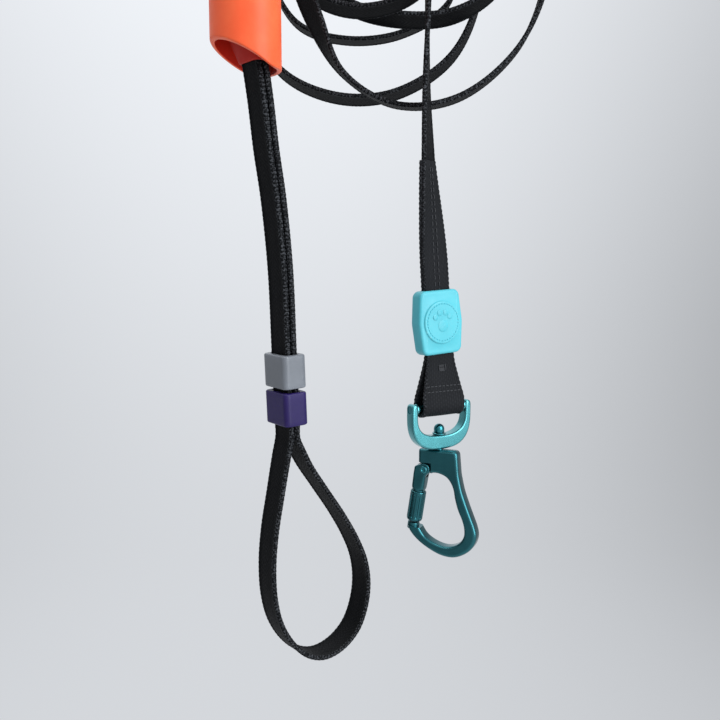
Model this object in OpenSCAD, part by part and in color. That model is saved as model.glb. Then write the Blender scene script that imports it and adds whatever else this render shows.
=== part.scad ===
// Training leash: one length of webbing with a hand loop, a rubber hand grip, two
// loop stoppers, a strap keeper and a swivelling safety hook. Millimetres, +Z up.
// The leash hangs over a wide round support along Y; its centre is the origin.

/* [Webbing] */
// Width of the webbing
strap_w = 15; // [14:0.1:15.5]
// Thickness of one layer of webbing
strap_t = 2.5; // [1.8:0.1:2.6]
// Thickness of one layer where the webbing is sewn flat at the hook
sewn_t = 2.2; // [1.8:0.1:2.3]
// Gap between the two layers of the hand loop above the stoppers
layer_gap = 1.4; // [0.6:0.1:1.6]
// Width of the webbing where it turns round the bar
fold_w = 25; // [20:0.5:26]

/* [Handle] */
// Direction of the hand loop's plane, from +X towards +Y
handle_yaw = 36; // [20:1:60]
// Width of the grip across the webbing's faces
grip_depth = 30.8; // [30:0.2:36]
// Width of the grip along the webbing's width
grip_width = 38.4; // [36:0.2:44]
// Wall of the rubber sleeve
grip_wall = 2.4; // [1.8:0.1:2.8]
// Slope of the grip's mouth
mouth_slope = 31; // [15:1:35]
// Height of one stopper
stopper_h = 16.6; // [12:0.2:17.4]
// Stopper size along the webbing's width
stopper_w = 20.8; // [19:0.2:24]
// Stopper size across the two layers
stopper_d = 13; // [10.4:0.2:13.4]

/* [Keeper] */
// Width of the keeper
keeper_w = 26; // [22:0.5:28]
// Height of the keeper
keeper_h = 32; // [26:0.5:33]
// Depth of the keeper's body
keeper_d = 8.4; // [7.6:0.2:11]

/* [Hook] */
// Direction of the bar, from +X towards +Y
bow_yaw = 30; // [0:1:60]
// Direction of the hook's plane, from +X towards +Y
hook_yaw = -25; // [-60:1:0]
// Thickness of the hook
hook_t = 7.2; // [6.8:0.2:8]
// Thickness of the bow
bow_t = 6; // [5.4:0.2:6.4]
// Radius of the bar
bar_r = 2; // [1.6:0.1:2.1]
// Radius of the gate's rod
rod_r = 3.3; // [3:0.1:3.4]
// Outer radius of the lock sleeve
sleeve_r = 4.1; // [3.9:0.1:4.4]

/* [Hidden] */

webbing_black = [0.09, 0.10, 0.12];
thread_black = [0.05, 0.05, 0.06];
grip_orange = [0.95, 0.40, 0.22];
core_red = [0.62, 0.10, 0.08];
stopper_grey = [0.55, 0.57, 0.58];
stopper_purple = [0.25, 0.17, 0.48];
keeper_cyan = [0.42, 0.90, 0.95];
hook_teal = [0.10, 0.45, 0.46];
pin_teal = [0.12, 0.36, 0.37];
spring_steel = [0.70, 0.71, 0.72];

// Clearance of a sliding piece on the webbing
slide_gap = 0.3;
// Running clearance of a pin in its bore
fit_gap = 0.05;
// Free gap between pieces that move past each other
free_gap = 0.3;

// ---- splines, ribbons and swept straps ----

function unit(v) = v / norm(v);

function reversed(p) = [for (i = [len(p) - 1 : -1 : 0]) p[i]];

function spline_point(a, b, c, d, t) =
    0.5 * (2 * b + (c - a) * t + (2 * a - 5 * b + 4 * c - d) * t * t + (3 * b - a - 3 * c + d) * t * t * t);

// A smooth curve through points p, with n steps between neighbours
function spline(p, n) = concat(
    [for (i = [0 : len(p) - 2], k = [0 : n - 1])
        spline_point(p[max(i - 1, 0)], p[i], p[i + 1], p[min(i + 2, len(p) - 1)], k / n)],
    [p[len(p) - 1]]);

function heading(p, i) = unit(p[min(i + 1, len(p) - 1)] - p[max(i - 1, 0)]);

// The flat path p moved sideways by d
function beside(p, d) = [for (i = [0 : len(p) - 1]) let (h = heading(p, i)) p[i] + d * [-h[1], h[0]]];

module ribbon(p, thickness) {
    polygon(concat(beside(p, thickness / 2), reversed(beside(p, -thickness / 2))));
}

function place(r) = [r[0], r[1], r[2]];

// The webbing's width direction at ring i: Y turned square to the path, then rolled about it
function side_at(route, i) =
    let (
        t = heading([for (r = route) place(r)], i),
        s = unit([0, 1, 0] - t[1] * t),
        roll = route[i][3]
    )
    s * cos(roll) + cross(t, s) * sin(roll);

function flat_section(w, t) =
    let (edge = 0.7)
    [[w / 2, -t / 4], [w / 2, t / 4], [w / 2 - edge, t / 2], [edge - w / 2, t / 2],
     [-w / 2, t / 4], [-w / 2, -t / 4], [edge - w / 2, -t / 2], [w / 2 - edge, -t / 2]];

// A solid swept along route = [[x, y, z, roll], ...] with one ring at each point
module swept(route, section) {
    path = [for (r = route) place(r)];
    m = len(section);
    rings = [for (i = [0 : len(route) - 1])
        let (s = side_at(route, i), n = cross(heading(path, i), s))
        for (q = section) path[i] + q[0] * s + q[1] * n];
    walls = [for (i = [0 : len(route) - 2], j = [0 : m - 1])
        let (a = i * m + j, b = i * m + (j + 1) % m)
        each [[a, a + m, b + m], [a, b + m, b]]];
    first_cap = [for (j = [0 : m - 1]) j];
    last_cap = [for (j = [m - 1 : -1 : 0]) (len(route) - 1) * m + j];
    polyhedron(rings, concat(walls, [first_cap, last_cap]), convexity = 10);
}

// ---- leash webbing: the free length, in loops over the support ----

// Each pass goes over the support from -X to +X; the loops between them hang below.
leash_route = [
    // out of the grip and over, in front, to the deepest lane
    [-38.5, -51.4, -57, 36], [-46, -50, -34, 24],
    [-55.5, -46, 0, 6], [-39.6, -33, 39.6, 0], [0, -8, 56, 0], [39.6, 18, 39.6, 0], [53.5, 31, 0, 0],
    // big loop in the deepest lane
    [67, 33, -38, 0], [79, 32.5, -82, 4], [78, 32, -118, 8], [63, 32, -150, 11], [32, 32, -169.5, 11],
    [0, 32, -171.5, 11], [-30, 32, -158.5, 8], [-48, 32, -130, 4], [-53, 32, -90, 0], [-52, 32, -42, 0],
    [-49, 32, 0, 0], [-34.7, 32, 34.7, 0], [0, 32, 49, 0], [34.7, 32, 34.7, 0], [49, 32, 0, 0],
    // small loop nested in it
    [58, 32, -42, 0], [68, 32, -86, 0], [61, 32, -121, 0], [36, 32, -137, 0], [4, 32, -140.5, 0],
    [-22, 32, -132, 0], [-38, 32, -103, 0], [-45, 32, -52, 0],
    [-45.5, 32, 0, 0], [-32.2, 28, 32.2, 0], [0, 24, 45.5, 0], [32.2, 20, 32.2, 0], [45.5, 17, 4, 0],
    // wide loop in the next lane forward
    [58, 16, -22, 0], [80, 16, -50, 2], [94, 16, -82, 6], [88, 16, -114, 12], [64, 16, -131, 17],
    [34, 16, -133.5, 17], [6, 16, -126.5, 14], [-20, 16, -105, 8], [-38, 16, -62, 2],
    [-45.5, 16, 0, 0], [-35.4, 9, 35.4, 0], [0, 1, 52.5, 0], [37.2, -8, 37.2, 0], [52.3, -15, 5, 0],
    // largest loop, near the front
    [64, -16, -20, 0], [88, -16, -51, 0], [104, -16, -88, 0], [104.5, -16, -124, 2], [91, -16, -156, 3],
    [62, -16, -179.5, 2], [30, -16, -182.8, -2], [4, -16, -167.5, 0], [-10, -16, -142, 30],
    [-22, -16, -108, 38], [-37, -16, -60, 16],
    [-49, -16, 0, 0], [-34.7, -14, 34.7, 0], [0, -9, 49, 0], [34.7, -4, 34.7, 0], [49, 0, 0, 0],
    // smallest loop
    [58, 0, -46, 0], [59.5, 0, -90, 4], [44, 0, -122.5, 10], [14, 0, -133.4, 11], [-14, 0, -124.5, 9],
    [-34, 0, -90, 3], [-44, 0, -42, 0],
    [-45.5, 0, 0, 0], [-32.2, -8, 32.2, 0], [0, -16, 45.5, 0], [32.2, -24, 32.2, 0], [45.5, -32, 0, 0],
    // down to the hook
    [46.5, -32, -45, 0], [45.8, -32, -92, 0], [45.2, -32, -137, 1],
    [44.8, -32, -176, 11], [46, -32, -212, 24]];

module leash_webbing() {
    color(webbing_black) swept(leash_route, flat_section(strap_w, strap_t));
}

// ---- handle: hand loop, grip and stoppers, in the plane of the loop ----

handle_at = [-25.5, -42, 0];
// Middle of the doubled webbing, from inside the grip down to the end of the straight part
doubled = [[-18, -70], [-18, -138], [-15.8, -158], [-13, -171], [-10.6, -186], [-7.9, -208],
    [-4.3, -231], [-0.9, -265], [0.75, -307], [2.08, -341], [2.35, -348]];
// The straight part that the stoppers slide on, and its lean towards -X going up
straight_top = doubled[7];
straight_bottom = doubled[10];
stopper_lean = atan((straight_bottom[0] - straight_top[0]) / (straight_top[1] - straight_bottom[1]));
layer_shift = [(layer_gap + strap_t) / 2, 0];
// The open loop below the stoppers
loop_bow = [[-1.6, -358], [-5.2, -376], [-8.8, -395], [-10.4, -412], [-9.6, -429], [-6, -443],
    [1, -455], [10, -463.5], [20, -467], [31, -464.8], [40.5, -457.5], [46, -446], [47.8, -433],
    [45.8, -420], [40.5, -407.5], [32, -393], [21, -377], [11.8, -363.5], [7.3, -355]];
hand_loop_path = concat(
    [for (p = doubled) p - layer_shift], loop_bow,
    [for (p = reversed(doubled)) p + layer_shift], [[-18, -57] + layer_shift]);

module in_handle() {
    translate(handle_at) rotate([0, 0, handle_yaw]) children();
}

// Raises a flat outline in x and z into a slab of the given width
module upright(width) {
    rotate([90, 0, 0]) linear_extrude(width, center = true) children();
}

module hand_loop_webbing() {
    color(webbing_black) in_handle() upright(strap_w) ribbon(spline(hand_loop_path, 4), strap_t);
}

grip_top = -57;
grip_bottom = -174.3;
grip_x = doubled[0][0];
mouth_z = -169.3;
mouth_turn = -16;
core_bottom = -157;
core_top = -61;

module oval(shrink) {
    polygon([for (a = [0 : 6 : 354])
        [(grip_depth / 2 - shrink) * cos(a), (grip_width / 2 - shrink) * sin(a)]]);
}

module oval_bar(shrink, bottom, top) {
    translate([grip_x, 0, bottom]) linear_extrude(top - bottom) oval(shrink);
}

// The mouth is cut level at the bottom and slopes up towards one side
module grip_sleeve() {
    reach = 60;
    color(grip_orange) in_handle() difference() {
        oval_bar(0, grip_bottom, grip_top);
        oval_bar(grip_wall, mouth_z - reach, grip_top + 1);
        translate([grip_x, 0, mouth_z]) rotate([0, 0, mouth_turn]) rotate([0, mouth_slope, 0])
            translate([0, 0, -reach]) cube(2 * reach, center = true);
    }
}

// The core narrows to a lip round the webbing where it leaves the grip
module grip_core() {
    slot = layer_gap + 2 * strap_t + 2 * slide_gap;
    slot_w = strap_w + 2 * slide_gap;
    lip = 1.2;
    lip_bottom = -169.6;
    above = [doubled[0][0], -40];
    tunnel = spline(concat([above], doubled), 4);
    color(core_red) in_handle() difference() {
        union() {
            oval_bar(grip_wall, core_bottom, core_top);
            intersection() {
                upright(slot_w + 2 * lip) ribbon(tunnel, slot + 2 * lip);
                oval_bar(grip_wall, lip_bottom, core_bottom + 2);
            }
        }
        upright(slot_w) ribbon(tunnel, slot);
    }
}

// Box stitch that holds the webbing's tail, inside the grip between the two layers
module tail_seam_thread() {
    thread = 0.7;
    color(thread_black) in_handle() for (z = [-96 : 4 : -76], y = [-5, 5])
        translate([grip_x, y, z]) rotate([0, 90, 0])
            cylinder(h = layer_gap, r = thread / 2, center = true, $fn = 16);
}

module rounded_plate(w, d, r) {
    hull() for (x = [-1, 1], y = [-1, 1])
        translate([x * (w / 2 - r), y * (d / 2 - r)]) circle(r, $fn = 32);
}

module stopper(z) {
    corner = 2.8;
    slot_d = layer_gap + 2 * strap_t + 2 * slide_gap;
    slot_w = strap_w + 2 * slide_gap;
    x = straight_top[0] + (straight_top[1] - z) * tan(stopper_lean);
    in_handle() translate([x, 0, z]) rotate([0, -stopper_lean, 0]) difference() {
        linear_extrude(stopper_h, center = true) rounded_plate(stopper_d, stopper_w, corner);
        cube([slot_d, slot_w, stopper_h + 2], center = true);
    }
}

module grey_stopper() {
    color(stopper_grey) stopper(-314.3);
}

module purple_stopper() {
    color(stopper_purple) stopper(-332.8);
}

// ---- hook end: doubled webbing, its fold round the bar, its seams and the keeper ----

swivel_at = [52.8, -32, -356.4];
bar_z = 21.8;
// Bottom of the straight doubled part, and its lean towards -X going up
sewn_at = [52.2, -32, -308];
sewn_lean = 3.6;
sewn_h = 46;

module in_strap() {
    translate(sewn_at) rotate([0, -sewn_lean, 0]) rotate([0, 0, bow_yaw]) children();
}

module in_bow() {
    translate(swivel_at) rotate([0, 0, bow_yaw]) children();
}

// The doubled webbing turns as it comes down to the keeper
turning_route = [[46, -32, -212, 24], [46.7, -32, -224, 32], [47.6, -32, -237, 42],
    [48.5, -32, -250, 53], [49.3, -32, -261.7, 60], [49.7, -32, -268, 60]];
fold_h = -swivel_at[2] - 308 - bar_z;
fold_depth = 11;

module fold_profile() {
    top = bar_z + fold_h;
    inner_r = fold_depth / 2 - sewn_t;
    round_z = bar_z - bar_r - free_gap + inner_r;
    difference() {
        hull() {
            translate([0, round_z]) circle(fold_depth / 2, $fn = 32);
            translate([-sewn_t, top - 0.5]) square([2 * sewn_t, 0.5]);
        }
        hull() {
            translate([0, round_z]) circle(inner_r, $fn = 32);
            translate([-0.1, top - 6]) square([0.2, 0.1]);
        }
    }
}

module fold_outline() {
    top = bar_z + fold_h;
    polygon([[-strap_w / 2 - 1.4, top], [strap_w / 2 + 0.4, top], [fold_w / 2, bar_z + 5],
        [fold_w / 2, 10], [-fold_w / 2, 10], [-fold_w / 2, bar_z + 5]]);
}

module hook_end_webbing() {
    color(webbing_black) {
        swept(turning_route, flat_section(strap_w, 2 * sewn_t));
        in_strap() translate([-strap_w / 2, -sewn_t, -0.8]) cube([strap_w, 2 * sewn_t, sewn_h]);
        in_bow() intersection() {
            rotate([90, 0, 90]) linear_extrude(fold_w + 2, center = true) fold_profile();
            upright(fold_depth + 2) fold_outline();
        }
    }
}

// Two rows of thread sunk in the front face along the middle of the doubled webbing
module centre_seam_thread() {
    thread = 0.6;
    proud = 0.15;
    lift = sewn_t + proud - thread / 2;
    length = 11;
    color(thread_black) in_strap() for (x = [-0.6, 0.6])
        translate([x, -lift, 34]) cylinder(h = length, r = thread / 2, $fn = 16);
}

// Slope of the fold's front face
face_slope = atan((fold_depth / 2 - sewn_t) / fold_h);

module on_fold_face(z) {
    out = sewn_t + (bar_z + fold_h - z) * tan(face_slope);
    in_bow() translate([0, -out, z]) rotate([-face_slope, 0, 0]) children();
}

module bartack_thread() {
    thread = 0.7;
    color(thread_black) on_fold_face(bar_z + fold_h - 6) for (i = [-2 : 2])
        translate([-0.6, -0.35, i * 0.9]) rotate([0, 90, 0])
            cylinder(h = 3.6, r = thread / 2, center = true, $fn = 16);
}

module fold_seam_thread() {
    thread = 0.6;
    stitch = 1.7;
    pitch = 2.3;
    color(thread_black) on_fold_face(bar_z + 9) for (row = [0, 2.6], i = [-4 : 4])
        translate([i * pitch, -0.3, row]) rotate([0, 90, 0])
            cylinder(h = stitch, r = thread / 2, center = true, $fn = 16);
}

module paw_print(height) {
    linear_extrude(height) {
        translate([0, -1.7]) circle(3.1, $fn = 32);
        for (a = [-57, -20, 20, 57])
            rotate(-a) translate([0, 5.1]) circle(1.55, $fn = 24);
    }
}

module keeper() {
    disc_r = 10.6;
    disc_h = 0.9;
    corner = 3.6;
    middle = 0.8 + keeper_h / 2;
    slot_w = strap_w + 2 * slide_gap;
    slot_d = 2 * sewn_t + 2 * slide_gap;
    color(keeper_cyan) in_strap() difference() {
        union() {
            translate([0, 0, middle]) upright(keeper_d) hull() {
                circle(keeper_w / 2, $fn = 64);
                for (x = [-1, 1], z = [-1, 1])
                    translate([x * (keeper_w / 2 - corner - 1.2), z * (keeper_h / 2 - corner)])
                        circle(corner, $fn = 32);
            }
            translate([0, -keeper_d / 2, middle]) rotate([90, 0, 0])
                cylinder(h = disc_h, r = disc_r, $fn = 64);
            translate([0, -keeper_d / 2 - disc_h, middle]) rotate([90, 0, 0]) paw_print(0.5);
        }
        translate([-slot_w / 2, -slot_d / 2, -1]) cube([slot_w, slot_d, keeper_h + 4]);
    }
}

// ---- swivel: bow, bar, pin and washer ----

bow_half = 18;
bow_wall = 3.4;
bow_round_z = 18.5;
bow_foot = 0.5;
bow_floor = 7.6;
pin_r = 2.1;

// The lower half of a squarish oval
function low_arc(a, b, z) =
    [for (t = [180 : 6 : 360]) [a * sign(cos(t)) * pow(abs(cos(t)), 0.72), z - b * pow(abs(sin(t)), 0.72)]];

module bow_outline() {
    inner = bow_half - bow_wall;
    difference() {
        polygon(concat(low_arc(bow_half, bow_round_z - bow_foot, bow_round_z),
            [[bow_half, bar_z + 1.6], [bow_half - 1.2, bar_z + 2.8], [1.2 - bow_half, bar_z + 2.8],
             [-bow_half, bar_z + 1.6]]));
        polygon(concat(low_arc(inner, bow_round_z - bow_floor, bow_round_z),
            [[inner, bar_z + 4], [-inner, bar_z + 4]]));
    }
}

module swivel_bow() {
    color(hook_teal) in_bow() difference() {
        union() {
            upright(bow_t) bow_outline();
            for (s = [-1, 1])
                translate([s * (bow_half - bow_wall - 0.5), 0, bar_z]) rotate([0, 90, 0])
                    cylinder(h = 1.2, r = 2.8, center = true, $fn = 48);
        }
        translate([0, 0, -1]) cylinder(h = bow_floor + 2, r = pin_r + fit_gap, $fn = 48);
        translate([-bow_half, 0, bar_z]) rotate([0, 90, 0]) cylinder(h = 2 * bow_half, r = bar_r, $fn = 48);
    }
}

module webbing_bar() {
    color(pin_teal) in_bow() translate([0.3 - bow_half, 0, bar_z]) rotate([0, 90, 0])
        cylinder(h = 2 * bow_half - 0.6, r = bar_r, $fn = 48);
}

washer_bottom = bow_floor + 0.2;
washer_h = 1;
washer_r = 3.4;

module in_hook() {
    translate(swivel_at) rotate([0, 0, hook_yaw]) children();
}

module swivel_washer() {
    color(pin_teal) in_hook() translate([0, 0, washer_bottom]) difference() {
        cylinder(h = washer_h, r = washer_r, $fn = 48);
        translate([0, 0, -1]) cylinder(h = washer_h + 2, r = pin_r, $fn = 48);
    }
}

// The pin passes down through the bow into the hook; its head is domed
module swivel_pin() {
    head_r = 2.7;
    head_z = washer_bottom + washer_h;
    side_h = 2;
    foot = -5;
    color(pin_teal) in_hook() rotate_extrude($fn = 64)
        polygon(concat([[0, foot], [pin_r, foot], [pin_r, head_z], [head_r, head_z]],
            [for (t = [0 : 10 : 90]) [head_r * cos(t), head_z + side_h + head_r * sin(t)]]));
}

// ---- hook: body, gate, rivet, spring and lock sleeve ----

gate_at = [-6.9, 0, -10.8];
gate_lean = 8.6;
rod_x = -2;
rod_end = -29;
stub_top = -29.7;
nose_shoulder = -31.4;
tongue_back = 1.3;
tongue_front = -0.1;
rivet_r = 1.2;
sleeve_top = -12.6;
sleeve_h = 16;

// The gate's own frame: origin on the rivet, rod down along -Z
module in_gate() {
    in_hook() translate(gate_at) rotate([0, gate_lean, 0]) children();
}

hook_back = [[11.8, -12.2], [13.6, -20], [16.1, -27], [18.5, -33], [20.6, -38.3], [21.5, -42.4],
    [20.9, -46.2], [18.6, -50.1], [14.6, -53.4], [9.4, -55.5], [3, -55.3], [-4.4, -52.5], [-10.7, -48.5],
    [-14.6, -44.3], [-16.4, -40.2]];
hook_inside = [[-9.2, -41.9], [-6.1, -46.1], [-0.2, -49.3], [5.7, -50.2], [11.4, -48.2], [14.6, -44.1],
    [14.9, -40], [13.8, -35.5], [11.4, -30.1], [9.8, -24.7], [8.5, -18.6], [5.4, -14],
    [0.7, -12.2], [-2.7, -12.2]];

module hook_outline() {
    polygon(concat([[-10, -0.6], [-9.4, 0], [9.6, 0], [10.8, -1.2]], spline(hook_back, 3),
        spline(hook_inside, 3), [[-3.6, -13.4], [-10, -11], [-10, -7]]));
    translate([gate_at[0], gate_at[2]]) circle(3.2, $fn = 48);
}

module hook_body() {
    room = 20;
    fork_x = -2.9;
    fork_z = -7.1;
    pin_foot = -5.2;
    stub_r = 3.1;
    stub_root = 2;
    color(hook_teal) {
        difference() {
            in_hook() upright(hook_t) hook_outline();
            // room for the gate's fork on both sides of the tongue
            in_hook() translate([fork_x - room, tongue_back, fork_z - room]) cube(room);
            in_hook() translate([fork_x - room, tongue_front - room, fork_z - room]) cube(room);
            in_gate() rotate([90, 0, 0]) cylinder(h = 3 * hook_t, r = rivet_r, center = true, $fn = 48);
            in_hook() translate([0, 0, pin_foot]) cylinder(h = 10, r = pin_r, $fn = 48);
            // room for the gate's rod and the lock sleeve above the nose
            in_gate() translate([rod_x, 0, nose_shoulder]) cylinder(h = 10, r = 6, $fn = 48);
        }
        in_gate() translate([rod_x, 0, nose_shoulder - stub_root])
            cylinder(h = stub_top - nose_shoulder + stub_root, r = stub_r, $fn = 48);
    }
}

module gate_lever() {
    fork = 1.6;
    fork_end = -4.4;
    room = 20;
    block_end = -11.7;
    block_top = 0.6;
    block_w = 6.8;
    edge = 0.8;
    cheek_r = 3.3;
    rod_h = block_end + 1 - rod_end - edge;
    color(hook_teal) in_gate() difference() {
        union() {
            rotate([90, 0, 0]) cylinder(h = hook_t, r = cheek_r, center = true, $fn = 48);
            translate([rod_x - block_w / 2, -hook_t / 2, block_end])
                cube([block_w, hook_t, block_top - block_end]);
            translate([rod_x, 0, rod_end + edge]) cylinder(h = rod_h, r = rod_r, $fn = 48);
            translate([rod_x, 0, rod_end]) cylinder(h = edge, r1 = rod_r - edge, r2 = rod_r, $fn = 48);
        }
        translate([-room, -fork, fork_end]) cube([2 * room, 2 * fork, room]);
        rotate([90, 0, 0]) cylinder(h = 3 * hook_t, r = rivet_r + fit_gap, center = true, $fn = 48);
    }
}

module gate_rivet() {
    head_r = 1.9;
    head_h = 0.5;
    head_gap = 0.15;
    head_y = hook_t / 2 + head_gap;
    color(pin_teal) in_gate() rotate([90, 0, 0]) {
        cylinder(h = 2 * head_y, r = rivet_r, center = true, $fn = 48);
        for (s = [0, 1]) mirror([0, 0, s]) translate([0, 0, head_y])
            cylinder(h = head_h, r = head_r, $fn = 48);
    }
}

// Torsion spring: two close turns round the rivet beside the tongue
module gate_spring() {
    wire = 0.5;
    coil_gap = 0.35;
    coil_r = rivet_r + coil_gap + wire / 2;
    color(spring_steel) in_gate() for (y = [-1.15, -0.6]) translate([0, y, 0])
        rotate([90, 0, 0]) rotate_extrude($fn = 48) translate([coil_r, 0]) circle(wire / 2, $fn = 16);
}

module lock_sleeve() {
    flutes = 16;
    flute_r = 0.45;
    flute_out = 0.15;
    plain_end = 1.6;
    edge = 0.6;
    color(hook_teal) in_gate() translate([rod_x, 0, sleeve_top - sleeve_h]) difference() {
        rotate_extrude($fn = 64) polygon([[rod_r + fit_gap, 0], [sleeve_r - edge, 0], [sleeve_r, edge],
            [sleeve_r, sleeve_h - edge], [sleeve_r - edge, sleeve_h], [rod_r + fit_gap, sleeve_h]]);
        for (i = [0 : flutes - 1]) rotate([0, 0, i * 360 / flutes])
            translate([sleeve_r + flute_out, 0, plain_end])
                cylinder(h = sleeve_h - 2 * plain_end, r = flute_r, $fn = 16);
    }
}

leash_webbing();
hand_loop_webbing();
hook_end_webbing();
centre_seam_thread();
bartack_thread();
fold_seam_thread();
grip_sleeve();
grip_core();
tail_seam_thread();
grey_stopper();
purple_stopper();
keeper();
swivel_bow();
webbing_bar();
swivel_pin();
swivel_washer();
hook_body();
gate_lever();
gate_rivet();
gate_spring();
lock_sleeve();
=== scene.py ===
import math

import bmesh
import bpy
import numpy as np
from mathutils import Matrix, Vector
from mathutils.geometry import delaunay_2d_cdt


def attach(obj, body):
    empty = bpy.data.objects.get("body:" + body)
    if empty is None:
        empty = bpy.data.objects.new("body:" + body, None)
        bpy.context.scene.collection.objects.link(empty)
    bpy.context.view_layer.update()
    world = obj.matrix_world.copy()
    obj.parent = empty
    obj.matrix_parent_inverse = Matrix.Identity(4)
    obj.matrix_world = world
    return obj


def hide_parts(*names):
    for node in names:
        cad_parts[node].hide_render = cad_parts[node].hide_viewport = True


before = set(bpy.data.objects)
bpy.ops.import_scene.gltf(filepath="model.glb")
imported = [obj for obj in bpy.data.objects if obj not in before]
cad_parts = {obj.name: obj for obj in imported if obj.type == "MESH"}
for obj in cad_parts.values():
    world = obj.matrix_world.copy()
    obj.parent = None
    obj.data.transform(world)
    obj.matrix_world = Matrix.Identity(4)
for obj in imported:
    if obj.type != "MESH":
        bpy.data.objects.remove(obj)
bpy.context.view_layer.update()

MM = 0.001


# ---- the camera, at the photograph's viewing angle ----

camera = bpy.data.objects.new("camera", bpy.data.cameras.new("camera"))
bpy.context.scene.collection.objects.link(camera)
camera.location = (0.0125, -0.46251, -0.25536)
camera.rotation_euler = (math.radians(82.7), 0, 0)
camera.data.lens = 43
camera.data.sensor_width = 36
camera.data.clip_start = 0.01
bpy.context.scene.camera = camera


# ---- places, in millimetres ----

def shift(x, y, z):
    return Matrix.Translation((x, y, z))


def turn(axis, degrees):
    return Matrix.Rotation(math.radians(degrees), 4, axis)


ROW = Matrix.Identity(4)
HANDLE = shift(-25.5, -42, 0) @ turn("Z", 36)
STRAP = shift(52.2, -32, -308) @ turn("Y", -3.6) @ turn("Z", 30)
BOW = shift(52.8, -32, -356.4) @ turn("Z", 30)
HOOK = shift(52.8, -32, -356.4) @ turn("Z", -25)
GATE = HOOK @ shift(-6.9, 0, -10.8) @ turn("Y", 8.6)


def unit(v):
    v = np.asarray(v, float)
    return v / np.maximum(np.linalg.norm(v, axis=-1, keepdims=True), 1e-12)


def placed(points, place):
    """Points in a place's own millimetres, as row-frame millimetres."""
    m = np.array(place)
    return np.asarray(points, float) @ m[:3, :3].T + m[:3, 3]


# ---- meshes ----

def inside_out(points, faces):
    """Whether a closed part's faces point inwards."""
    fan = np.array([(face[0], face[k], face[k + 1]) for face in faces for k in range(1, len(face) - 1)])
    a, b, c = (points[fan[:, k]] - points.mean(0) for k in range(3))
    return np.sum(a * np.cross(b, c)) < 0


def piece(name, parts, material, body, place=ROW, stands_for=(), sharp=None):
    """One smooth-shaded mesh from parts, each (points, faces, uv by face corner or None)."""
    verts, faces, uvs, base = [], [], [], 0
    for points, quads, uv in parts:
        points = np.asarray(points, float).reshape(-1, 3)
        uv = np.zeros((sum(len(face) for face in quads), 2)) if uv is None else np.asarray(uv, float)
        if inside_out(points, quads):
            starts = np.cumsum([0] + [len(face) for face in quads])
            uv = np.concatenate([uv[a:b][::-1] for a, b in zip(starts, starts[1:])])
            quads = [face[::-1] for face in quads]
        verts.append(points)
        faces += [[base + i for i in face] for face in quads]
        uvs.append(uv)
        base += len(points)
    mesh = bpy.data.meshes.new(name)
    mesh.from_pydata((placed(np.concatenate(verts), place) * MM).tolist(), [], faces)
    mesh.uv_layers.new(name="UVMap").data.foreach_set("uv", np.concatenate(uvs).astype(np.float32).ravel())
    mesh.validate()
    mesh.shade_smooth()
    if sharp is not None:
        mesh.set_sharp_from_angle(angle=math.radians(sharp))
    obj = bpy.data.objects.new(name, mesh)
    bpy.context.scene.collection.objects.link(obj)
    if material is not None:
        mesh.materials.append(material)
    if body is not None:
        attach(obj, body)
    if stands_for:
        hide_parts(*stands_for)
    return obj


def lofted(rings, us=None, vs=None, ends=True, ring_of_rings=False):
    """Quads between rings with the same number of points. us gives each ring's first texture
    coordinate and vs each column's second. ends closes the first and last ring."""
    rings = np.asarray(rings, float)
    n, m = rings.shape[:2]
    us = np.arange(n) if us is None else np.asarray(us, float)
    vs = np.arange(m) if vs is None else np.asarray(vs, float)
    rows = n if ring_of_rings else n - 1
    i, j = np.meshgrid(np.arange(rows), np.arange(m), indexing="ij")
    i2, j2 = (i + 1) % n, (j + 1) % m
    quads = np.stack([i * m + j, i2 * m + j, i2 * m + j2, i * m + j2], -1).reshape(-1, 4)
    uv = np.stack([np.stack([us[a], vs[b]], -1) for a, b in ((i, j), (i2, j), (i2, j2), (i, j2))], -2)
    faces, uv = quads.tolist(), uv.reshape(-1, 2).tolist()
    if ends and not ring_of_rings:
        faces += [list(range(m)), list(range((n - 1) * m, n * m))[::-1]]
        uv += [[us[0], v] for v in vs] + [[us[-1], v] for v in vs[::-1]]
    return rings.reshape(-1, 3), faces, uv


def turned(profile, columns=64, axis="Z"):
    """A profile of (radius, height) turned about the local Z axis, or the Y axis, with flat ends."""
    angles = np.linspace(0, 2 * math.pi, columns, endpoint=False)
    rings = [[[r * math.cos(a), r * math.sin(a), h] for a in angles] for r, h in profile if r > 0]
    rings = np.array(rings)
    if axis == "Y":
        rings = rings[..., [0, 2, 1]] * [1, -1, 1]
    return lofted(rings[:, ::-1])


def soft_corners(profile, radius=0.3, steps=3):
    """A profile with each inner corner replaced by a small arc."""
    made = [profile[0]]
    for a, b, c in zip(profile, profile[1:], profile[2:]):
        a, b, c = np.array(a, float), np.array(b, float), np.array(c, float)
        la, lc = np.linalg.norm(a - b), np.linalg.norm(c - b)
        d = min(radius, la * 0.45, lc * 0.45)
        p, q = b + (a - b) / max(la, 1e-9) * d, b + (c - b) / max(lc, 1e-9) * d
        for k in range(steps + 1):
            t = k / steps
            made.append(tuple((1 - t) ** 2 * p + 2 * t * (1 - t) * b + t * t * q))
    return made + [profile[-1]]


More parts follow.
